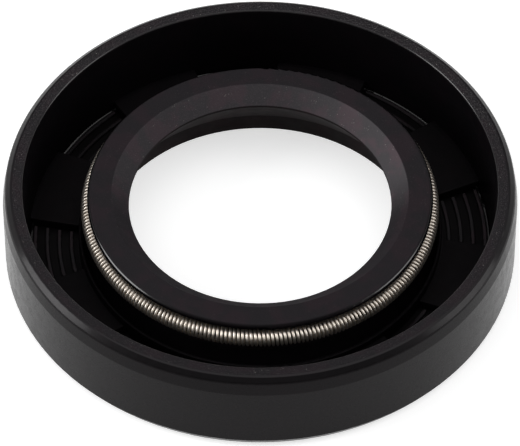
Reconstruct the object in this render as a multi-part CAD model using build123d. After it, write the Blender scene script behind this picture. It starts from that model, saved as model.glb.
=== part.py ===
from build123d import *
import os
from math import cos, radians, sin, sqrt, tan

os.makedirs("parts", exist_ok=True)

# Rubber-covered radial shaft seal with one spring-loaded lip, for a 28 mm shaft in a 52 mm housing bore.
# It stands on its air side, with the axis along Z and the origin in the middle of the back face.
# All lengths are in millimetres and all angles in degrees. Radii are measured from the axis.

# Main size
housing_radius = 26.0
seal_width = 10.0
shaft_radius = 14.0

# Outer wall of the moulding
back_chamfer_run = 0.6
back_chamfer_height = 1.0
lead_in_run = 0.24
lead_in_height = 1.45
shoulder_run = 0.61
shoulder_drop = 0.5
rim_face_width = 1.19
rim_outer_rounding = 0.4
shoulder_rounding = 0.4
rim_inner_rounding = 0.2
inner_wall_draft = 3.2
wall_foot_fillet = 0.2

# Floor of the cup, with raised pads and ribbed windows between them, inside a round-topped kerb
window_floor_height = 1.5
floor_inner_radius = 18.17
kerb_width = 0.34
kerb_rise = 1.85
kerb_crown = 0.15
pad_rise = 1.0
pad_count = 8
pad_width = 9.7
pad_side_taper = 4.7
pad_direction = 28.7
pad_edge_rounding = 0.12
rib_pitch = 1.23
rib_width = 0.46
rib_rise = 0.3
rib_crown = 0.12
rib_wall_gap = 0.3
rib_end_gap = 0.35

# Lip head and its contact edge
lip_interference = 0.7
contact_land = 0.25
contact_height = 6.75
oil_side_angle = 50.0
air_side_angle = 33.0
head_height = 8.42
head_edge_rounding = 0.45

# Flexing section and bore of the back flange
web_thickness = 1.15
web_blend_radius = 0.8
flange_bore_radius = 16.5
flange_bore_height = 2.36

# Garter spring and its groove
spring_ring_radius = 17.25
spring_coil_radius = 0.91
spring_clearance = 0.02
spring_height = 6.42
groove_upper_cover = 0.25
groove_mouth_setback = 0.3
groove_lower_cover = 0.25
groove_lower_lip = 0.35

# Steel stiffening ring, pressed from sheet
sheet_thickness = 0.8
outer_skin = 0.75
back_skin = 0.45
rim_skin = 1.0
flange_inner_radius = 18.0
bend_inner_radius = 0.5

# Modelling allowances
floor_root = 0.15
edge_margin = 0.01


def point(radius, height):
    """A point of the half section, in the plane through the axis."""
    return (radius, 0, height)


def turned(edges):
    """The ring that a closed half section sweeps round the axis."""
    return revolve(make_face(edges), axis=Axis.Z)


# Rim and cup wall
rim_outer_radius = housing_radius - lead_in_run - shoulder_run
rim_inner_radius = rim_outer_radius - rim_face_width
cup_foot_radius = rim_inner_radius - (seal_width - window_floor_height) * tan(radians(inner_wall_draft))
back_radius = housing_radius - back_chamfer_run
wall_top_height = seal_width - shoulder_drop - lead_in_height

# Lip head, from the contact edge outwards and downwards
contact_radius = shaft_radius - lip_interference
head_inner_radius = contact_radius + (head_height - contact_height - contact_land) * tan(radians(oil_side_angle))
cone_foot_radius = contact_radius + (contact_height - flange_bore_height) * tan(radians(air_side_angle))
groove_radius = spring_coil_radius + spring_clearance
head_outer_radius = spring_ring_radius + groove_upper_cover
lower_lip_radius = spring_ring_radius - groove_lower_cover
groove_mouth_radius = spring_ring_radius - groove_mouth_setback
groove_mouth_height = spring_height + sqrt(groove_radius**2 - groove_mouth_setback**2)
groove_foot_height = spring_height - sqrt(groove_radius**2 - groove_lower_cover**2)
lower_lip_height = groove_foot_height - groove_lower_lip

# Outer face of the flexing section, parallel to the air-side cone
web_run = web_thickness / cos(radians(air_side_angle))
web_top_radius = contact_radius + web_run
web_foot_radius = web_top_radius + (contact_height - window_floor_height) * tan(radians(air_side_angle))
web_neck_height = lower_lip_height - web_blend_radius
web_neck_radius = web_top_radius + (contact_height - web_neck_height) * tan(radians(air_side_angle))


def rim_edges():
    """Back face, outer wall, rim and inner wall of the cup."""
    return Polyline(
        point(flange_bore_radius, 0),
        point(back_radius, 0),
        point(housing_radius, back_chamfer_height),
        point(housing_radius, wall_top_height),
        point(housing_radius - lead_in_run, seal_width - shoulder_drop),
        point(rim_outer_radius, seal_width),
        point(rim_inner_radius, seal_width),
        point(cup_foot_radius, window_floor_height),
        point(web_foot_radius, window_floor_height),
        point(web_neck_radius, web_neck_height),
        point(lower_lip_radius, lower_lip_height),
        point(lower_lip_radius, groove_foot_height),
    )


def groove_arc():
    """The round seat of the garter spring, open outwards and upwards."""
    return ThreePointArc(
        point(lower_lip_radius, groove_foot_height),
        point(spring_ring_radius - groove_radius, spring_height),
        point(groove_mouth_radius, groove_mouth_height),
    )


def head_edges():
    """Flared mouth of the groove, then the head's rounded edge and face, the contact edge and the two cones."""
    rounding = head_edge_rounding * (1 - sin(radians(45)))
    mouth = Line(
        point(groove_mouth_radius, groove_mouth_height),
        point(head_outer_radius, head_height - head_edge_rounding),
    )
    edge = ThreePointArc(
        point(head_outer_radius, head_height - head_edge_rounding),
        point(head_outer_radius - rounding, head_height - rounding),
        point(head_outer_radius - head_edge_rounding, head_height),
    )
    lip = Polyline(
        point(head_outer_radius - head_edge_rounding, head_height),
        point(head_inner_radius, head_height),
        point(contact_radius, contact_height + contact_land),
        point(contact_radius, contact_height),
        point(cone_foot_radius, flange_bore_height),
        point(flange_bore_radius, 0),
    )
    return [mouth, edge, lip]


def rings_of(body, radius):
    """The circular edges of a body that have a given radius."""
    return body.edges().filter_by(GeomType.CIRCLE).filter_by(lambda edge: abs(edge.radius - radius) < edge_margin)


def cup_moulding():
    """The rubber moulding before its floor gets pads and ribs."""
    body = turned([rim_edges(), groove_arc(), *head_edges()])
    body = fillet(rings_of(body, cup_foot_radius), wall_foot_fillet)
    body = fillet(rings_of(body, rim_inner_radius), rim_inner_rounding)
    body = fillet(rings_of(body, rim_outer_radius), rim_outer_rounding)
    return fillet(rings_of(body, housing_radius - lead_in_run), shoulder_rounding)


def pad_blocks(widening):
    """Straight-sided blocks that mark the pads' places, each side moved out by a given amount."""
    reach = cup_foot_radius + outer_skin
    outer = pad_width / 2 + widening
    inner = outer - reach * tan(radians(pad_side_taper))
    outline = make_face(Polyline((0, -inner), (reach, -outer), (reach, outer), (0, inner), close=True))
    block = extrude(Pos(Z=window_floor_height - floor_root) * outline, amount=floor_root + pad_rise)
    step = 360 / pad_count
    return [Rot(Z=pad_direction + step * index) * block for index in range(pad_count)]


def floor_pads():
    """Raised smooth pads that join the cup wall, spaced evenly round the floor."""
    under = window_floor_height - floor_root
    top = window_floor_height + pad_rise
    start = floor_inner_radius + kerb_width / 2
    reach = cup_foot_radius + outer_skin
    ring = turned([Polyline(
        point(start, under),
        point(reach, under),
        point(reach, top),
        point(start, top),
        close=True,
    )])
    pads = []
    for block in pad_blocks(0):
        pad = ring & block
        sides = pad.edges().filter_by(GeomType.LINE).group_by(Axis.Z)[-1]
        pads.append(fillet(sides, pad_edge_rounding))
    return pads


def raised_ring(inner_radius, width, rise, crown):
    """A concentric ridge on the floor with a crowned top."""
    under = window_floor_height - floor_root
    top = window_floor_height + rise
    outer_radius = inner_radius + width
    return turned([
        Polyline(
            point(inner_radius, top - crown),
            point(inner_radius, under),
            point(outer_radius, under),
            point(outer_radius, top - crown),
        ),
        ThreePointArc(
            point(outer_radius, top - crown),
            point(inner_radius + width / 2, top),
            point(inner_radius, top - crown),
        ),
    ])


def floor_ribs():
    """The ribs of the windows. They fill the floor from the cup wall inwards and stop short of the pads."""
    first = cup_foot_radius - rib_wall_gap - rib_width
    last = floor_inner_radius + kerb_width
    spaces = int((first - last) / rib_pitch)
    rings = [raised_ring(first - rib_pitch * index, rib_width, rib_rise, rib_crown) for index in range(spaces + 1)]
    ribs = []
    for ring in rings:
        cut = ring - pad_blocks(rib_end_gap)
        ribs.extend(cut.solids())
    return ribs


def floor_kerb():
    """The narrow kerb between the floor and the channel round the lip."""
    return raised_ring(floor_inner_radius, kerb_width, kerb_rise, kerb_crown)


def steel_insert():
    """An L-shaped ring: a cup wall inside the moulding's wall and a flange inside its floor."""
    outside = housing_radius - outer_skin
    inside = outside - sheet_thickness
    flange_top = back_skin + sheet_thickness
    bend_outer_radius = bend_inner_radius + sheet_thickness
    inner_turn = bend_inner_radius * (1 - sin(radians(45)))
    outer_turn = bend_outer_radius * (1 - sin(radians(45)))
    return turned([
        Polyline(
            point(outside - bend_outer_radius, back_skin),
            point(flange_inner_radius, back_skin),
            point(flange_inner_radius, flange_top),
            point(inside - bend_inner_radius, flange_top),
        ),
        ThreePointArc(
            point(inside - bend_inner_radius, flange_top),
            point(inside - inner_turn, flange_top + inner_turn),
            point(inside, flange_top + bend_inner_radius),
        ),
        Polyline(
            point(inside, flange_top + bend_inner_radius),
            point(inside, seal_width - rim_skin),
            point(outside, seal_width - rim_skin),
            point(outside, back_skin + bend_outer_radius),
        ),
        ThreePointArc(
            point(outside, back_skin + bend_outer_radius),
            point(outside - outer_turn, back_skin + outer_turn),
            point(outside - bend_outer_radius, back_skin),
        ),
    ])


def garter_spring():
    """The close-wound coil spring as the smooth ring that its turns fill."""
    section = Plane.XZ * Pos(spring_ring_radius, spring_height) * Circle(spring_coil_radius)
    return revolve(section, axis=Axis.Z)


insert = steel_insert()
rubber = cup_moulding() + floor_kerb() + floor_pads() + floor_ribs() - insert
spring = garter_spring()

export_step(rubber, "parts/rubber_body.step")
export_step(insert, "parts/steel_insert.step")
export_step(spring, "parts/garter_spring.step")
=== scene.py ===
"""Looks of a rubber-covered radial shaft seal for a 28 mm shaft, a 52 mm housing bore and 10 mm of width.

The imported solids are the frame. The rubber moulding and the steel ring keep their solids and get their
finishes here, and the garter spring's plain ring is replaced by its wound wire. All lengths are in metres.
"""

from __future__ import annotations

import logging
import math
from dataclasses import dataclass, field
from enum import Enum
from typing import Union

import bpy
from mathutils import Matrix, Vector


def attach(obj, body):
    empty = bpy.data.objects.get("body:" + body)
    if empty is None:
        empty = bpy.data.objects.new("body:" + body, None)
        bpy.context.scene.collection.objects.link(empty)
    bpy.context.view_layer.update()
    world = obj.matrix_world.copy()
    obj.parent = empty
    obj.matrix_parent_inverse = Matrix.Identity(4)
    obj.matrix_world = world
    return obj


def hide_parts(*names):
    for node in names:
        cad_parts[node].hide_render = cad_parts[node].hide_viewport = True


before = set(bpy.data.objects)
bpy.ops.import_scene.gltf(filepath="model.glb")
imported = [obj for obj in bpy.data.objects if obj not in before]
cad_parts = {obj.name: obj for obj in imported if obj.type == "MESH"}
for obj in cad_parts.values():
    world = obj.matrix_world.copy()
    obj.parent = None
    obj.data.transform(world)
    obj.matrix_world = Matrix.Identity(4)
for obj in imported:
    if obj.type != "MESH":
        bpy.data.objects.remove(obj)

log = logging.getLogger("shaft_seal")

Socket = bpy.types.NodeSocket
Value = Union[float, Socket]
Colour = tuple[float, float, float]
Step = tuple[float, float]

MM = 0.001


class Blend(Enum):
    """How one colour is laid over another."""

    COVER = "MIX"
    MULTIPLY = "MULTIPLY"


@dataclass(frozen=True)
class NoiseGrain:
    """Size and fineness of a noise.

    Attributes:
        scale: Grains per metre.
        detail: Number of finer layers.
        roughness: Weight of the finer layers.
    """

    scale: float
    detail: float = 2.0
    roughness: float = 0.5


class ShaderSheet:
    """A material's node tree, built one step at a time."""

    def __init__(self, name: str) -> None:
        """Starts an empty material with its output node.

        Args:
            name: Name of the material.
        """
        self.material = bpy.data.materials.new(name)
        self.material.use_nodes = True
        self.tree = self.material.node_tree
        self.tree.nodes.clear()
        self.output = self.tree.nodes.new("ShaderNodeOutputMaterial")

    def node(self, kind: str, **settings: object) -> bpy.types.Node:
        """Adds a node.

        Args:
            kind: Node type without its ShaderNode prefix.
            **settings: Attributes of the node.

        Returns:
            The new node.
        """
        made = self.tree.nodes.new("ShaderNode" + kind)
        for key, value in settings.items():
            setattr(made, key, value)
        return made

    def feed(self, socket: Socket, value: Union[Value, Colour]) -> None:
        """Links a socket to another one, or sets its number or colour.

        Args:
            socket: Input socket that takes the value.
            value: Output socket, number or colour.
        """
        if isinstance(value, bpy.types.NodeSocket):
            self.tree.links.new(value, socket)
        elif isinstance(value, tuple) and len(socket.default_value) == 4:
            socket.default_value = (*value, 1.0)
        else:
            socket.default_value = value

    def math(self, operation: str, first: Value, second: Value = 0.0, clamp: bool = False) -> Socket:
        """Adds a math node.

        Args:
            operation: Name of the operation.
            first: First operand.
            second: Second operand, where the operation has one.
            clamp: Whether the result is kept between 0 and 1.

        Returns:
            The result's socket.
        """
        made = self.node("Math", operation=operation, use_clamp=clamp)
        self.feed(made.inputs[0], first)
        self.feed(made.inputs[1], second)
        return made.outputs[0]

    def fade(self, value: Value, start: float, end: float, low: float = 0.0, high: float = 1.0) -> Socket:
        """Turns a value into a smooth step.

        Args:
            value: Value that is read.
            start: Where the step begins.
            end: Where it ends. It may be below start.
            low: Result at the start.
            high: Result at the end.

        Returns:
            The step's socket.
        """
        made = self.node("MapRange", interpolation_type="SMOOTHSTEP")
        flipped = end < start
        self.feed(made.inputs["Value"], value)
        self.feed(made.inputs["From Min"], end if flipped else start)
        self.feed(made.inputs["From Max"], start if flipped else end)
        self.feed(made.inputs["To Min"], high if flipped else low)
        self.feed(made.inputs["To Max"], low if flipped else high)
        return made.outputs["Result"]

    def lay(self, under: Union[Socket, Colour], over: Union[Socket, Colour], amount: Value,
            how: Blend = Blend.COVER) -> Socket:
        """Lays one colour over another.

        Args:
            under: Colour below.
            over: Colour on top.
            amount: How much of the top shows.
            how: Way of blending.

        Returns:
            The result's socket.
        """
        made = self.node("Mix", data_type="RGBA", blend_type=how.value, clamp_factor=True)
        self.feed(made.inputs[0], amount)
        self.feed(made.inputs[6], under)
        self.feed(made.inputs[7], over)
        return made.outputs[2]

    def noise(self, where: Socket, grain: NoiseGrain) -> Socket:
        """Adds fractal noise.

        Args:
            where: Position that is read.
            grain: Size and fineness of the noise.

        Returns:
            The noise value's socket.
        """
        made = self.node("TexNoise")
        self.feed(made.inputs["Vector"], where)
        self.feed(made.inputs["Scale"], grain.scale)
        self.feed(made.inputs["Detail"], grain.detail)
        self.feed(made.inputs["Roughness"], grain.roughness)
        return made.outputs["Fac"]


class SealPosition:
    """Place on the seal in millimetres, and how far the skin faces up, for shading by place."""

    def __init__(self, sheet: ShaderSheet) -> None:
        """Reads the position on the object.

        Args:
            sheet: Sheet that the nodes go on.
        """
        self.where = sheet.node("TexCoord").outputs["Object"]
        parts = sheet.node("SeparateXYZ")
        sheet.feed(parts.inputs[0], self.where)
        self.across = sheet.math("MULTIPLY", parts.outputs[0], 1000.0)
        self.along = sheet.math("MULTIPLY", parts.outputs[1], 1000.0)
        self.height = sheet.math("MULTIPLY", parts.outputs[2], 1000.0)
        wide = sheet.math("MULTIPLY", self.across, self.across)
        deep = sheet.math("MULTIPLY", self.along, self.along)
        squared = sheet.math("ADD", wide, deep)
        self.radius = sheet.math("SQRT", squared)
        facing = sheet.node("SeparateXYZ")
        sheet.feed(facing.inputs[0], sheet.node("TexCoord").outputs["Normal"])
        self.upward = facing.outputs[2]


@dataclass(frozen=True)
class RubberSkin:
    """Look of the moulded rubber in one zone.

    Attributes:
        colour: Base colour.
        roughness: Roughness of the surface.
        gloss: Weight of the smooth film that a polished mould leaves.
        dust: Share of fine bloom and pale grains that lie on it.
    """

    colour: Colour
    roughness: float
    gloss: float = 0.0
    dust: float = 0.0


@dataclass(frozen=True)
class SkinLimits:
    """Where the zones of the moulding's skin end, in millimetres.

    Each pair holds where a zone's mask is gone and where it is full. Inside and outside are by radius, bottom
    and top by height above the back face, left by the place across the seal, and front and back by the place
    along it. Facing is how far the skin faces up, from 0 to 1.

    Attributes:
        floor_inside: Inner end of the ribbed floor.
        floor_outside: Outer end of the ribbed floor.
        pad_top: Top of the pads.
        valley_top: Top of the sunk floor.
        crown_bottom: Lower end of the ribs' crowns.
        crown_top: Upper end of the ribs' crowns.
        crown_painted_light_facing: How far the crowns face up where their painted highlight shows.
        crown_painted_shade_back: Where painted shade darkens the crowns towards the back.
        crown_painted_shade_back_share: What is left of their painted highlight there.
        crown_painted_shade_front: Where painted shade darkens the crowns towards the front.
        crown_painted_shade_front_share: What is left of their painted highlight there.
        foot_inside: Inner end of the fillet at the wall's foot.
        foot_top: Upper end of that fillet.
        kerb_inside: Inner end of the kerb's crown.
        kerb_outside: Outer end of the kerb's crown.
        kerb_bottom: Lower end of the kerb's crown.
        kerb_top: Upper end of the kerb's crown.
        wall_inside: Where the outer wall begins.
        shoulder_bottom: Lower end of the shoulder.
        shoulder_painted_shade_front: Where the shoulder's film and paler colour end towards the front, where
            painted shade darkens it.
        rim_bottom: Lower end of the rim's top.
        rim_edge_inside: Inner end of the rim's outer rounding.
        rim_edge_outside: Outer end of that rounding.
        rim_face_inside: Inner end of the rim's face.
        rim_face_outside: Outer end of the rim's face.
        cup_edge_inside: Inner end of the rim's inner rounding.
        cup_edge_outside: Outer end of that rounding.
        head_bottom: Lower end of the lip head's top.
        head_face_outside: Outer end of the head's face.
        head_edge_inside: Inner end of the head's rounded edge.
        head_edge_outside: Outer end of that edge.
        head_edge_facing: How far that edge faces up.
        head_edge_front: Where that edge's film ends towards the front.
        oil_bottom: Lower end of the oil side's cone.
        oil_outside: Outer end of that cone.
        oil_painted_light_left: Where the painted light on that cone thins out towards the left.
        oil_painted_light_left_share: What is left of it there.
        oil_painted_light_front: Where the painted light ends towards the front.
        air_top: Upper end of the air side's cone.
        air_outside: Outer end of that cone.
    """

    floor_inside: Step = (18.6, 18.7)
    floor_outside: Step = (23.2, 23.1)
    pad_top: Step = (2.80, 2.70)
    valley_top: Step = (1.62, 1.54)
    crown_bottom: Step = (1.62, 1.68)
    crown_top: Step = (1.90, 1.84)
    crown_painted_light_facing: Step = (0.75, 0.92)
    crown_painted_shade_back: Step = (10.0, 2.0)
    crown_painted_shade_back_share: float = 0.3
    crown_painted_shade_front: Step = (-13.0, -9.0)
    crown_painted_shade_front_share: float = 0.2
    foot_inside: Step = (23.20, 23.26)
    foot_top: Step = (1.80, 1.72)
    kerb_inside: Step = (18.0, 18.1)
    kerb_outside: Step = (18.6, 18.5)
    kerb_bottom: Step = (3.18, 3.24)
    kerb_top: Step = (3.6, 3.5)
    wall_inside: Step = (25.18, 25.30)
    shoulder_bottom: Step = (9.40, 9.60)
    shoulder_painted_shade_front: Step = (-22.0, -15.5)
    rim_bottom: Step = (9.70, 9.78)
    rim_edge_inside: Step = (24.96, 25.04)
    rim_edge_outside: Step = (25.28, 25.20)
    rim_face_inside: Step = (23.98, 24.06)
    rim_face_outside: Step = (25.04, 24.96)
    cup_edge_inside: Step = (23.5, 23.6)
    cup_edge_outside: Step = (24.10, 24.02)
    head_bottom: Step = (7.80, 7.90)
    head_face_outside: Step = (17.32, 17.15)
    head_edge_inside: Step = (16.9, 17.0)
    head_edge_outside: Step = (18.0, 17.9)
    head_edge_facing: Step = (0.93, 0.82)
    head_edge_front: Step = (-16.0, -11.5)
    oil_bottom: Step = (6.95, 7.05)
    oil_outside: Step = (15.10, 14.97)
    oil_painted_light_left: Step = (1.0, 13.0)
    oil_painted_light_left_share: float = 0.40
    oil_painted_light_front: Step = (-3.0, 4.0)
    air_top: Step = (7.02, 6.95)
    air_outside: Step = (16.6, 16.5)


@dataclass(frozen=True)
class Weathering:
    """Browner blotches, a fine bloom and pale grains on the skin, most of them at the back.

    Attributes:
        warm_tone: Factor on the colour in the browner blotches.
        bloom_colour: Colour of the fine bloom.
        grain_colour: Colour of the pale grains.
        blotch_grain: Noise of the blotches.
        blotch_step: Noise values where a blotch begins and is full.
        front_to_back: Places along the seal between which the dust grows, in millimetres.
        front_share: Share of the dust at the front.
        bloom_grain: Noise of the bloom's flecks.
        bloom_step: Noise values where a fleck begins and is full.
        grain_scale: Grains per metre.
        grain_step: Distances from a grain's middle where it is gone and full.
        patch_grain: Noise of the patches that the grains lie in.
        patch_step: Noise values where a patch begins and is full.
    """

    warm_tone: Colour = (1.28, 1.04, 1.10)
    bloom_colour: Colour = (0.075, 0.070, 0.072)
    grain_colour: Colour = (0.50, 0.47, 0.44)
    blotch_grain: NoiseGrain = NoiseGrain(380.0, 3.0, 0.6)
    blotch_step: Step = (0.44, 0.60)
    front_to_back: Step = (-24.0, 20.0)
    front_share: float = 0.40
    bloom_grain: NoiseGrain = NoiseGrain(7000.0, 2.0, 0.7)
    bloom_step: Step = (0.46, 0.74)
    grain_scale: float = 5200.0
    grain_step: Step = (0.24, 0.12)
    patch_grain: NoiseGrain = NoiseGrain(1700.0, 3.0)
    patch_step: Step = (0.54, 0.70)

    def cover(self, sheet: ShaderSheet, place: SealPosition, colour: Socket, dust: Socket) -> Socket:
        """Weathers a colour.

        Args:
            sheet: Sheet that the nodes go on.
            place: Position on the seal.
            colour: Colour of the clean skin.
            dust: Share of dust.

        Returns:
            The weathered colour's socket.
        """
        blotches = sheet.fade(sheet.noise(place.where, self.blotch_grain), *self.blotch_step)
        colour = sheet.lay(colour, self.warm_tone, blotches, Blend.MULTIPLY)
        uneven = sheet.fade(place.along, *self.front_to_back, self.front_share, 1.0)
        amount = sheet.math("MULTIPLY", dust, uneven)
        fine = sheet.fade(sheet.noise(place.where, self.bloom_grain), *self.bloom_step)
        colour = sheet.lay(colour, self.bloom_colour, sheet.math("MULTIPLY", fine, amount, clamp=True))
        cells = sheet.node("TexVoronoi", feature="F1")
        sheet.feed(cells.inputs["Vector"], place.where)
        sheet.feed(cells.inputs["Scale"], self.grain_scale)
        dots = sheet.fade(cells.outputs["Distance"], *self.grain_step)
        patches = sheet.fade(sheet.noise(place.where, self.patch_grain), *self.patch_step)
        grains = sheet.math("MULTIPLY", sheet.math("MULTIPLY", dots, patches), amount)
        return sheet.lay(colour, self.grain_colour, grains)


@dataclass(frozen=True)
class MouldedRubber:
    """Near-black moulded rubber: smooth in the cup, duller where the mould was textured or handled.

    Attributes:
        name: Name of the material.
        cup: Skin of the cup's wall.
        wall_foot: Skin of the fillet between the wall and the floor.
        floor: Skin of the pads and of the ribs' flanks.
        valley_painted_shade: Skin of the sunk floor between the ribs, darkened as painted shade.
        rib_crown_painted_light: Skin of the ribs' crowns, whose pale colour is a painted highlight.
        kerb_top: Skin of the kerb's crown.
        outer_wall: Skin of the wall that seats in the housing.
        shoulder: Skin of the bevel from the wall up to the rim, at the front, whose darker colour is painted
            shade.
        shoulder_sides: Skin of the same bevel at the sides and the back.
        rim_edge: Skin of the rounded edge between the rim's face and its shoulder.
        rim_face: Skin of the flat top of the rim.
        cup_edge: Skin of the rounded edge between the rim's face and the cup.
        head_face: Skin of the flat top of the lip head.
        head_edge: Skin of the rounded edge over the spring.
        oil_cone: Skin of the cone from the head face to the contact edge.
        oil_cone_painted_light: Skin of the same cone at its back and right, whose paler colour is painted
            light and which holds more dust.
        air_cone: Skin of the cone below the contact edge.
        index: Index of refraction of the rubber.
        specular: Specular level of all of it.
        tint: Tint of its reflections.
        film_roughness: Roughness of the polished film.
        cloud_grain: Noise of the uneven roughness.
        cloud_step: Noise values between which the roughness changes.
        cloud_range: Lowest and highest change of the roughness.
        relief_grain: Noise of the skin's bumps.
        relief_strength: Strength of the bumps.
        relief_depth: Depth of the bumps.
        limits: Ends of the zones.
        weathering: What lies on the skin.
    """

    name: str = "moulded_rubber"
    cup: RubberSkin = RubberSkin((0.0021, 0.0018, 0.0023), 0.38)
    wall_foot: RubberSkin = RubberSkin((0.0010, 0.0009, 0.0011), 0.35, gloss=1.0)
    floor: RubberSkin = RubberSkin((0.0019, 0.0016, 0.0020), 0.60)
    # Near-black colour of the sunk floor: painted shade between the ribs.
    valley_painted_shade: RubberSkin = RubberSkin((0.0004, 0.0003, 0.0004), 0.50)
    # Pale colour of the ribs' crowns: a painted highlight on their lit tops.
    rib_crown_painted_light: RubberSkin = RubberSkin((0.0230, 0.0215, 0.0235), 0.55)
    kerb_top: RubberSkin = RubberSkin((0.0026, 0.0023, 0.0028), 0.60)
    outer_wall: RubberSkin = RubberSkin((0.0012, 0.0010, 0.0012), 0.26)
    # Darker colour at the front of the bevel: painted shade.
    shoulder: RubberSkin = RubberSkin((0.0008, 0.0007, 0.0009), 0.38)
    shoulder_sides: RubberSkin = RubberSkin((0.0016, 0.0014, 0.0016), 0.36, gloss=0.24)
    rim_edge: RubberSkin = RubberSkin((0.0060, 0.0054, 0.0062), 0.45, gloss=0.3)
    rim_face: RubberSkin = RubberSkin((0.0110, 0.0100, 0.0114), 0.60, dust=1.0)
    cup_edge: RubberSkin = RubberSkin((0.0070, 0.0064, 0.0072), 0.40, gloss=0.7)
    head_face: RubberSkin = RubberSkin((0.0140, 0.0126, 0.0144), 0.60, dust=0.12)
    head_edge: RubberSkin = RubberSkin((0.0010, 0.0009, 0.0011), 0.35, gloss=1.0)
    oil_cone: RubberSkin = RubberSkin((0.0150, 0.0134, 0.0154), 0.80, dust=0.2)
    # Paler colour on the back and right of the oil side's cone: painted light where it faces the left lamp;
    # its higher dust share is real dust.
    oil_cone_painted_light: RubberSkin = RubberSkin((0.0600, 0.0560, 0.0600), 0.80, dust=0.6)
    air_cone: RubberSkin = RubberSkin((0.0095, 0.0078, 0.0080), 0.85)
    index: float = 1.3
    specular: float = 0.25
    tint: Colour = (1.0, 0.93, 0.98)
    film_roughness: float = 0.15
    cloud_grain: NoiseGrain = NoiseGrain(900.0, 4.0, 0.6)
    cloud_step: Step = (0.3, 0.7)
    cloud_range: Step = (-0.04, 0.05)
    relief_grain: NoiseGrain = NoiseGrain(5000.0, 3.0)
    relief_strength: float = 0.25
    relief_depth: float = 0.02 * MM
    limits: SkinLimits = field(default_factory=SkinLimits)
    weathering: Weathering = field(default_factory=Weathering)

    def make(self) -> bpy.types.Material:
        """Builds the material.

        Returns:
            The material.
        """
        sheet = ShaderSheet(self.name)
        place = SealPosition(sheet)
        colour: Union[Socket, Colour] = self.cup.colour
        roughness: Value = self.cup.roughness
        gloss: Value = self.cup.gloss
        dust: Value = self.cup.dust
        for skin, mask in self.zones(sheet, place):
            colour = sheet.lay(colour, skin.colour, mask)
            roughness = self.shift(sheet, roughness, skin.roughness, mask)
            gloss = self.shift(sheet, gloss, skin.gloss, mask)
            dust = self.shift(sheet, dust, skin.dust, mask)
        colour = self.weathering.cover(sheet, place, colour, dust)
        cloud = sheet.noise(place.where, self.cloud_grain)
        uneven = sheet.fade(cloud, *self.cloud_step, *self.cloud_range)
        roughness = sheet.math("ADD", roughness, uneven, clamp=True)
        shader = sheet.node("BsdfPrincipled")
        sheet.feed(shader.inputs["Base Color"], colour)
        sheet.feed(shader.inputs["Roughness"], roughness)
        sheet.feed(shader.inputs["IOR"], self.index)
        sheet.feed(shader.inputs["Specular IOR Level"], self.specular)
        sheet.feed(shader.inputs["Specular Tint"], self.tint)
        sheet.feed(shader.inputs["Coat Weight"], gloss)
        sheet.feed(shader.inputs["Coat Roughness"], self.film_roughness)
        sheet.feed(shader.inputs["Normal"], self.skin_relief(sheet, place.where))
        sheet.feed(sheet.output.inputs["Surface"], shader.outputs[0])
        return sheet.material

    def zones(self, sheet: ShaderSheet, place: SealPosition) -> list[tuple[RubberSkin, Socket]]:
        """Masks the zones of the moulding by place.

        Args:
            sheet: Sheet that the nodes go on.
            place: Position on the seal.

        Returns:
            Pairs of a skin and its mask.
        """
        ends = self.limits
        both = self.both
        floor = self.band(sheet, place.radius, ends.floor_inside, ends.floor_outside)
        low = both(sheet, floor, sheet.fade(place.height, *ends.pad_top))
        # The sunk floor's mask carries painted shade between the ribs.
        valley_painted_shade = both(sheet, floor, sheet.fade(place.height, *ends.valley_top))
        # Painted highlight on the ribs' crowns where they face up, faded by painted shade towards the back
        # and the front.
        crown = both(sheet, floor, self.band(sheet, place.height, ends.crown_bottom, ends.crown_top))
        crown = both(sheet, crown, sheet.fade(place.upward, *ends.crown_painted_light_facing))
        crown = both(sheet, crown, sheet.fade(place.along, *ends.crown_painted_shade_back, ends.crown_painted_shade_back_share, 1.0))
        crown = both(sheet, crown, sheet.fade(place.along, *ends.crown_painted_shade_front, ends.crown_painted_shade_front_share, 1.0))
        foot = both(sheet, sheet.fade(place.radius, *ends.foot_inside),
                    sheet.fade(place.height, *ends.foot_top))
        kerb = both(sheet, self.band(sheet, place.radius, ends.kerb_inside, ends.kerb_outside),
                    self.band(sheet, place.height, ends.kerb_bottom, ends.kerb_top))
        outer = sheet.fade(place.radius, *ends.wall_inside)
        shoulder = both(sheet, outer, sheet.fade(place.height, *ends.shoulder_bottom))
        # The sides and back of the shoulder get the paler filmed skin; the front keeps the darker one as
        # painted shade.
        shoulder_sides = both(sheet, shoulder, sheet.fade(place.along, *ends.shoulder_painted_shade_front))
        top = sheet.fade(place.height, *ends.rim_bottom)
        rim_edge = both(sheet, top,
                        self.band(sheet, place.radius, ends.rim_edge_inside, ends.rim_edge_outside))
        rim = both(sheet, top, self.band(sheet, place.radius, ends.rim_face_inside, ends.rim_face_outside))
        cup_edge = both(sheet, top,
                        self.band(sheet, place.radius, ends.cup_edge_inside, ends.cup_edge_outside))
        head_top = sheet.fade(place.height, *ends.head_bottom)
        head = both(sheet, head_top, sheet.fade(place.radius, *ends.head_face_outside))
        ring = self.band(sheet, place.radius, ends.head_edge_inside, ends.head_edge_outside)
        head_edge = both(sheet, head_top, ring)
        head_edge = both(sheet, head_edge, sheet.fade(place.upward, *ends.head_edge_facing))
        head_edge = both(sheet, head_edge, sheet.fade(place.along, *ends.head_edge_front))
        oil = both(sheet, sheet.fade(place.height, *ends.oil_bottom),
                   sheet.fade(place.radius, *ends.oil_outside))
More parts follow.
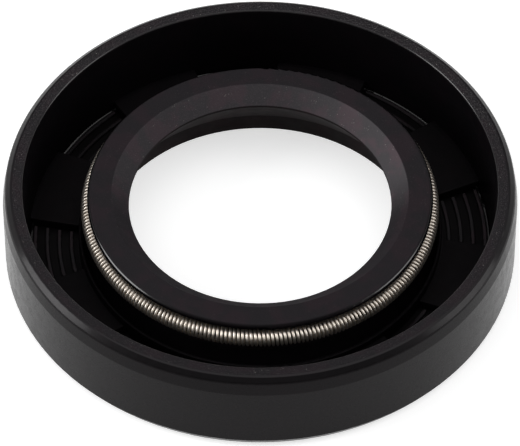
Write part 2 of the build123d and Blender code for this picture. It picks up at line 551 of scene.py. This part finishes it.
        # This mask paints the back of the oil side's cone paler, fullest at the right: painted light, with
        # more dust on it.
        bloom = both(sheet, oil, sheet.fade(place.across, *ends.oil_painted_light_left, ends.oil_painted_light_left_share, 1.0))
        bloom = both(sheet, bloom, sheet.fade(place.along, *ends.oil_painted_light_front))
        air = both(sheet, sheet.fade(place.height, *ends.air_top),
                   sheet.fade(place.radius, *ends.air_outside))
        return [
            (self.floor, low),
            (self.valley_painted_shade, valley_painted_shade),
            (self.rib_crown_painted_light, crown),
            (self.wall_foot, foot),
            (self.kerb_top, kerb),
            (self.outer_wall, outer),
            (self.shoulder, shoulder),
            (self.shoulder_sides, shoulder_sides),
            (self.rim_edge, rim_edge),
            (self.rim_face, rim),
            (self.cup_edge, cup_edge),
            (self.head_face, head),
            (self.head_edge, head_edge),
            (self.oil_cone, oil),
            (self.oil_cone_painted_light, bloom),
            (self.air_cone, air),
        ]

    def both(self, sheet: ShaderSheet, first: Socket, second: Socket) -> Socket:
        """Keeps what two masks share."""
        return sheet.math("MULTIPLY", first, second)

    def band(self, sheet: ShaderSheet, value: Socket, rise: Step, fall: Step) -> Socket:
        """Masks a band of a value.

        Args:
            sheet: Sheet that the nodes go on.
            value: Value that is read.
            rise: Where the mask starts to rise and where it is full.
            fall: Where the mask is gone and where it starts to fall.

        Returns:
            The mask's socket.
        """
        return sheet.math("MULTIPLY", sheet.fade(value, *rise), sheet.fade(value, *fall))

    def shift(self, sheet: ShaderSheet, under: Value, over: float, mask: Socket) -> Socket:
        """Moves a number towards another where the mask is set.

        Args:
            sheet: Sheet that the nodes go on.
            under: Number outside the mask.
            over: Number inside it.
            mask: Mask from 0 to 1.

        Returns:
            The result's socket.
        """
        made = sheet.node("Mix", data_type="FLOAT")
        sheet.feed(made.inputs[0], mask)
        sheet.feed(made.inputs[2], under)
        sheet.feed(made.inputs[3], over)
        return made.outputs[0]

    def skin_relief(self, sheet: ShaderSheet, where: Socket) -> Socket:
        """Gives the moulded skin its faint unevenness.

        Args:
            sheet: Sheet that the nodes go on.
            where: Position on the object.

        Returns:
            The bumped normal's socket.
        """
        bump = sheet.node("Bump")
        sheet.feed(bump.inputs["Strength"], self.relief_strength)
        sheet.feed(bump.inputs["Distance"], self.relief_depth)
        sheet.feed(bump.inputs["Height"], sheet.noise(where, self.relief_grain))
        return bump.outputs[0]


@dataclass(frozen=True)
class DrawnWire:
    """Bright drawn spring wire with an oily film in places.

    Attributes:
        name: Name of the material.
        colour: Colour of the clean wire.
        film: Colour under the oily film.
        roughness: Roughness of the clean wire.
        film_roughness: Roughness that the film adds.
        film_grain: Noise of the film's patches.
        film_step: Noise values where a patch begins and is full.
    """

    name: str = "spring_wire"
    colour: Colour = (0.82, 0.75, 0.67)
    film: Colour = (0.60, 0.52, 0.44)
    roughness: float = 0.40
    film_roughness: float = 0.08
    film_grain: NoiseGrain = NoiseGrain(500.0, 3.0)
    film_step: Step = (0.55, 0.85)

    def make(self) -> bpy.types.Material:
        """Builds the material.

        Returns:
            The material.
        """
        sheet = ShaderSheet(self.name)
        where = sheet.node("TexCoord").outputs["Object"]
        patches = sheet.fade(sheet.noise(where, self.film_grain), *self.film_step)
        colour = sheet.lay(self.colour, self.film, patches)
        dullest = self.roughness + self.film_roughness
        shader = sheet.node("BsdfPrincipled")
        sheet.feed(shader.inputs["Base Color"], colour)
        sheet.feed(shader.inputs["Metallic"], 1.0)
        sheet.feed(shader.inputs["Roughness"], sheet.fade(patches, 0.0, 1.0, self.roughness, dullest))
        sheet.feed(sheet.output.inputs["Surface"], shader.outputs[0])
        return sheet.material


@dataclass(frozen=True)
class PressedSteel:
    """Plain pressed sheet of the stiffening ring, which the rubber hides.

    Attributes:
        name: Name of the material.
        colour: Colour of the sheet.
        roughness: Roughness of the sheet.
        grain: Noise of the sheet's grain.
        grain_step: Noise values between which the roughness changes.
        grain_range: Lowest and highest change of the roughness.
    """

    name: str = "pressed_steel"
    colour: Colour = (0.42, 0.42, 0.43)
    roughness: float = 0.4
    grain: NoiseGrain = NoiseGrain(2500.0, 4.0)
    grain_step: Step = (0.3, 0.7)
    grain_range: Step = (-0.08, 0.08)

    def make(self) -> bpy.types.Material:
        """Builds the material.

        Returns:
            The material.
        """
        sheet = ShaderSheet(self.name)
        where = sheet.node("TexCoord").outputs["Object"]
        uneven = sheet.fade(sheet.noise(where, self.grain), *self.grain_step, *self.grain_range)
        shader = sheet.node("BsdfPrincipled")
        sheet.feed(shader.inputs["Base Color"], self.colour)
        sheet.feed(shader.inputs["Metallic"], 1.0)
        sheet.feed(shader.inputs["Roughness"], sheet.math("ADD", uneven, self.roughness))
        sheet.feed(sheet.output.inputs["Surface"], shader.outputs[0])
        return sheet.material


@dataclass(frozen=True)
class StudioPaper:
    """White paper under the seal, which stays white to the camera and keeps the seal's shadow.

    Attributes:
        name: Name of the material.
        colour: Colour of the paper.
        glow: Share of white that the camera and reflections see without any light.
    """

    name: str = "studio_paper"
    colour: Colour = (0.80, 0.80, 0.80)
    glow: float = 0.58

    def make(self) -> bpy.types.Material:
        """Builds the material.

        Returns:
            The material.
        """
        sheet = ShaderSheet(self.name)
        diffuse = sheet.node("BsdfDiffuse")
        sheet.feed(diffuse.inputs["Color"], self.colour)
        glow = sheet.node("Emission")
        path = sheet.node("LightPath")
        seen = sheet.math("MAXIMUM", path.outputs["Is Camera Ray"], path.outputs["Is Glossy Ray"])
        seen = sheet.math("MAXIMUM", seen, path.outputs["Is Transmission Ray"])
        sheet.feed(glow.inputs["Strength"], sheet.math("MULTIPLY", seen, self.glow))
        both = sheet.node("AddShader")
        sheet.feed(both.inputs[0], diffuse.outputs[0])
        sheet.feed(both.inputs[1], glow.outputs[0])
        sheet.feed(sheet.output.inputs["Surface"], both.outputs[0])
        return sheet.material


@dataclass
class RubberMoulding:
    """The one-piece rubber body, whose solid is kept.

    Attributes:
        node: Name of its solid.
        finish: Finish of the rubber.
    """

    node: str = "rubber_body"
    finish: MouldedRubber = field(default_factory=MouldedRubber)

    def dress(self) -> None:
        """Gives the solid its finish."""
        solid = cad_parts[self.node]
        solid.data.materials.clear()
        solid.data.materials.append(self.finish.make())
        log.info("%s dressed, %d faces", self.node, len(solid.data.polygons))


@dataclass
class StiffeningRing:
    """The hidden steel ring, whose solid is kept.

    Attributes:
        node: Name of its solid.
        finish: Finish of the steel.
    """

    node: str = "steel_insert"
    finish: PressedSteel = field(default_factory=PressedSteel)

    def dress(self) -> None:
        """Gives the solid its finish."""
        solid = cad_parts[self.node]
        solid.data.materials.clear()
        solid.data.materials.append(self.finish.make())
        log.info("%s dressed, %d faces", self.node, len(solid.data.polygons))


@dataclass
class GarterSpring:
    """The close-wound coil spring, closed into a ring behind the lip.

    Attributes:
        node: Solid that the wound wire replaces.
        ring_radius: From the seal's axis to the middle of the coil.
        coil_radius: Outer radius of the coil.
        wire_radius: Half the wire's thickness.
        height: Height of the coil's middle above the back face.
        turns: Number of turns in the ring.
        steps: Points along one turn.
        sides: Sides of the wire.
        finish: Finish of the wire.
    """

    node: str = "garter_spring"
    ring_radius: float = 17.25 * MM
    coil_radius: float = 0.91 * MM
    wire_radius: float = 0.152 * MM
    height: float = 6.42 * MM
    turns: int = 264
    steps: int = 20
    sides: int = 8
    finish: DrawnWire = field(default_factory=DrawnWire)

    def centre(self, share: float) -> tuple[Vector, Vector]:
        """Finds a point of the wire's centre line.

        Args:
            share: Share of the way round the ring, from 0 to 1.

        Returns:
            The point, and the direction from the coil's middle to it.
        """
        around = 2 * math.pi * share
        turn = -around * self.turns
        outward = Vector((math.cos(around), math.sin(around), 0))
        direction = outward * math.cos(turn) + Vector((0, 0, math.sin(turn)))
        middle = outward * self.ring_radius + Vector((0, 0, self.height))
        return middle + direction * (self.coil_radius - self.wire_radius), direction

    def build(self) -> bpy.types.Object:
        """Winds the wire.

        Returns:
            The wound spring.
        """
        count = self.turns * self.steps
        line = [self.centre(index / count) for index in range(count)]
        corners: list[Vector] = []
        for index, (point, direction) in enumerate(line):
            run = line[(index + 1) % count][0] - line[index - 1][0]
            run.normalize()
            side = run.cross(direction).normalized()
            rise = side.cross(run)
            for corner in range(self.sides):
                angle = 2 * math.pi * corner / self.sides
                corners.append(point + (rise * math.cos(angle) + side * math.sin(angle)) * self.wire_radius)
        faces = []
        for index in range(count):
            here = index * self.sides
            there = (index + 1) % count * self.sides
            for corner in range(self.sides):
                after = (corner + 1) % self.sides
                faces.append((here + corner, here + after, there + after, there + corner))
        mesh = bpy.data.meshes.new("garter_spring_wire")
        mesh.from_pydata([tuple(corner) for corner in corners], [], faces)
        mesh.polygons.foreach_set("use_smooth", [True] * len(faces))
        mesh.update()
        wire = bpy.data.objects.new("garter_spring_wire", mesh)
        bpy.context.scene.collection.objects.link(wire)
        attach(wire, "root")
        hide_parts(self.node)
        log.info("%s wound, %d turns, %d faces", wire.name, self.turns, len(faces))
        return wire

    def dress(self, wire: bpy.types.Object) -> None:
        """Gives the wire its finish.

        Args:
            wire: The wound spring.
        """
        wire.data.materials.append(self.finish.make())


@dataclass(frozen=True)
class SoftBox:
    """A round lamp that looks at the seal.

    Attributes:
        name: Name of the lamp.
        towards: Direction from the seal to the lamp.
        distance: Distance of the lamp.
        size: Diameter of the lamp.
        power: Power of the lamp in watts.
        colour: Colour of its light.
    """

    name: str
    towards: tuple[float, float, float]
    distance: float
    size: float
    power: float
    colour: Colour = (1.0, 1.0, 1.0)

    def place(self) -> None:
        """Hangs the lamp."""
        data = bpy.data.lights.new(self.name, "AREA")
        data.shape = "DISK"
        data.size = self.size
        data.energy = self.power
        data.color = self.colour
        lamp = bpy.data.objects.new(self.name, data)
        direction = Vector(self.towards).normalized()
        lamp.location = direction * self.distance
        lamp.rotation_euler = direction.to_track_quat("Z", "Y").to_euler()
        bpy.context.scene.collection.objects.link(lamp)


@dataclass
class Studio:
    """Paper, lamps, surroundings and camera.

    Attributes:
        paper_side: Side of the square of paper.
        paper_gap: How far the paper lies below the seal.
        paper: Finish of the paper.
        lamps: The soft lamps.
        ambient: Strength of the surroundings' light.
        horizon: Strength that the pale backdrop near the horizon adds.
        horizon_heights: Heights in the sky where the backdrop starts to fade and where it is gone.
        camera_place: Place of the camera.
        camera_turn: Turn of the camera about X, Y and Z, in degrees.
        focal_length: Focal length in millimetres.
        nearest: Distance at which the camera starts to see.
        farthest: Distance at which it stops.
    """

    paper_side: float = 6.0
    paper_gap: float = 0.01 * MM
    paper: StudioPaper = field(default_factory=StudioPaper)
    lamps: tuple[SoftBox, ...] = (
        SoftBox("left_softbox", (-0.92, -0.02, 0.40), 0.9, 0.58, 5.0),
        SoftBox("right_softbox", (0.92, -0.05, 0.42), 0.9, 0.58, 2.5),
        SoftBox("top_softbox", (0.0, -0.15, 0.99), 1.0, 3.0, 10.0),
        SoftBox("inner_softbox", (0.0, -0.15, 0.99), 1.1, 1.5, 2.8),
    )
    ambient: float = 0.05
    horizon: float = 0.9
    horizon_heights: Step = (0.12, 0.40)
    camera_place: tuple[float, float, float] = (0.0, -0.33371, 0.38773)
    camera_turn: tuple[float, float, float] = (41.0022, 0.0508, -0.0560)
    focal_length: float = 346.15
    nearest: float = 0.01
    farthest: float = 20.0

    def lay_paper(self) -> None:
        """Lays the paper that the seal lies on."""
        half = self.paper_side / 2
        mesh = bpy.data.meshes.new("paper")
        corners = [(-half, -half, 0), (half, -half, 0), (half, half, 0), (-half, half, 0)]
        mesh.from_pydata(corners, [], [(0, 1, 2, 3)])
        sheet = bpy.data.objects.new("paper", mesh)
        sheet.location.z = -self.paper_gap
        mesh.materials.append(self.paper.make())
        bpy.context.scene.collection.objects.link(sheet)

    def light(self) -> None:
        """Hangs the lamps and sets the surroundings."""
        for lamp in self.lamps:
            lamp.place()
        world = bpy.data.worlds.new("studio")
        world.use_nodes = True
        tree = world.node_tree
        background = tree.nodes["Background"]
        background.inputs["Color"].default_value = (1, 1, 1, 1)
        parts = tree.nodes.new("ShaderNodeSeparateXYZ")
        tree.links.new(tree.nodes.new("ShaderNodeTexCoord").outputs["Generated"], parts.inputs[0])
        fade = tree.nodes.new("ShaderNodeMapRange")
        tree.links.new(parts.outputs[2], fade.inputs["Value"])
        fade.inputs["From Min"].default_value = self.horizon_heights[0]
        fade.inputs["From Max"].default_value = self.horizon_heights[1]
        fade.inputs["To Min"].default_value = self.ambient + self.horizon
        fade.inputs["To Max"].default_value = self.ambient
        strength = tree.nodes.new("ShaderNodeMix")
        tree.links.new(tree.nodes.new("ShaderNodeLightPath").outputs["Is Camera Ray"], strength.inputs[0])
        tree.links.new(fade.outputs[0], strength.inputs[2])
        strength.inputs[3].default_value = 1.0
        tree.links.new(strength.outputs[0], background.inputs["Strength"])
        bpy.context.scene.world = world

    def stand_camera(self) -> None:
        """Stands the camera where the photograph was taken from."""
        data = bpy.data.cameras.new("photo_camera")
        data.lens = self.focal_length
        data.clip_start = self.nearest
        data.clip_end = self.farthest
        camera = bpy.data.objects.new("photo_camera", data)
        camera.location = self.camera_place
        camera.rotation_euler = [math.radians(angle) for angle in self.camera_turn]
        bpy.context.scene.collection.objects.link(camera)
        bpy.context.scene.camera = camera

    def build(self) -> None:
        """Sets up the whole studio."""
        self.lay_paper()
        self.light()
        self.stand_camera()
        bpy.context.scene.view_settings.view_transform = "Standard"
        log.info("studio set up with %d lamps", len(self.lamps))


def main() -> None:
    """Builds and dresses the seal, then sets up the studio."""
    logging.basicConfig(level=logging.INFO, format="%(name)s: %(message)s")
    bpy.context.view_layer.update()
    Studio().build()
    RubberMoulding().dress()
    StiffeningRing().dress()
    spring = GarterSpring()
    spring.dress(spring.build())


if __name__ == "__main__":
    main()
